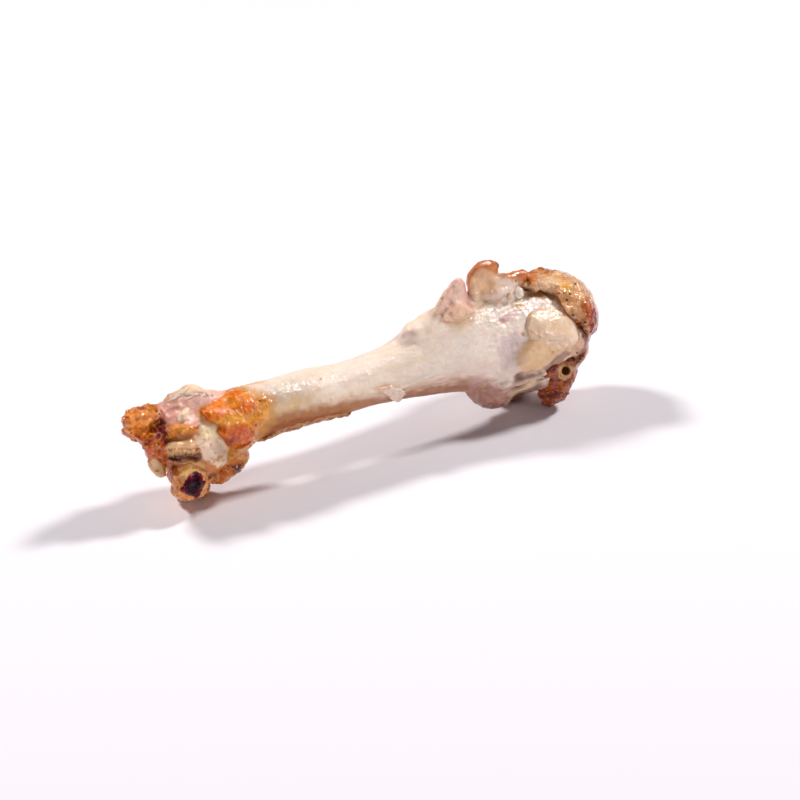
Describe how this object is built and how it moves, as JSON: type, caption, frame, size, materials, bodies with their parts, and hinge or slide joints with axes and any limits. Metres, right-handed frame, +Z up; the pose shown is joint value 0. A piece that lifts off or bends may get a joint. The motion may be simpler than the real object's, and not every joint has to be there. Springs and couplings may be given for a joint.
{
  "type": "chicken wing bone",
  "caption": "Leftover upper-wing bone of a roast chicken, picked nearly clean, with browned skin, gristle and scraps of meat at both ends.",
  "frame": {"origin": "on the surface that the bone lies on, under the middle of its box", "axes": "+X runs along the bone from the elbow end to the broad shoulder end; +Y is away from the side with the cartilage disc; +Z is up"},
  "size_m": [0.0832, 0.017, 0.0263],
  "materials": {
    "bone": "moist satin, ivory with pinkish membrane",
    "cartilage": "smooth and moist, slightly translucent",
    "browned_skin": "greasy and pimpled, browned with black specks",
    "orange_skin": "greasy and glossy, saturated orange",
    "browned_gristle": "crumbly and roasted, burnt in places",
    "meat": "moist pink-cream fibres",
    "dripping": "greasy golden brown"
  },
  "bodies": {
    "root": {"bone": "bone", "head_cartilage": "cartilage", "shoulder_skin": "browned_skin", "skin_curl": "browned_skin", "meat_tag": "meat", "vein_gristle": "browned_gristle", "elbow_knob": "browned_gristle", "elbow_tip": "browned_gristle", "elbow_pouch": "cartilage", "elbow_skin": "orange_skin", "shaft_scrap": "meat", "dripping_strip": "dripping"}
  },
  "joints": []
}
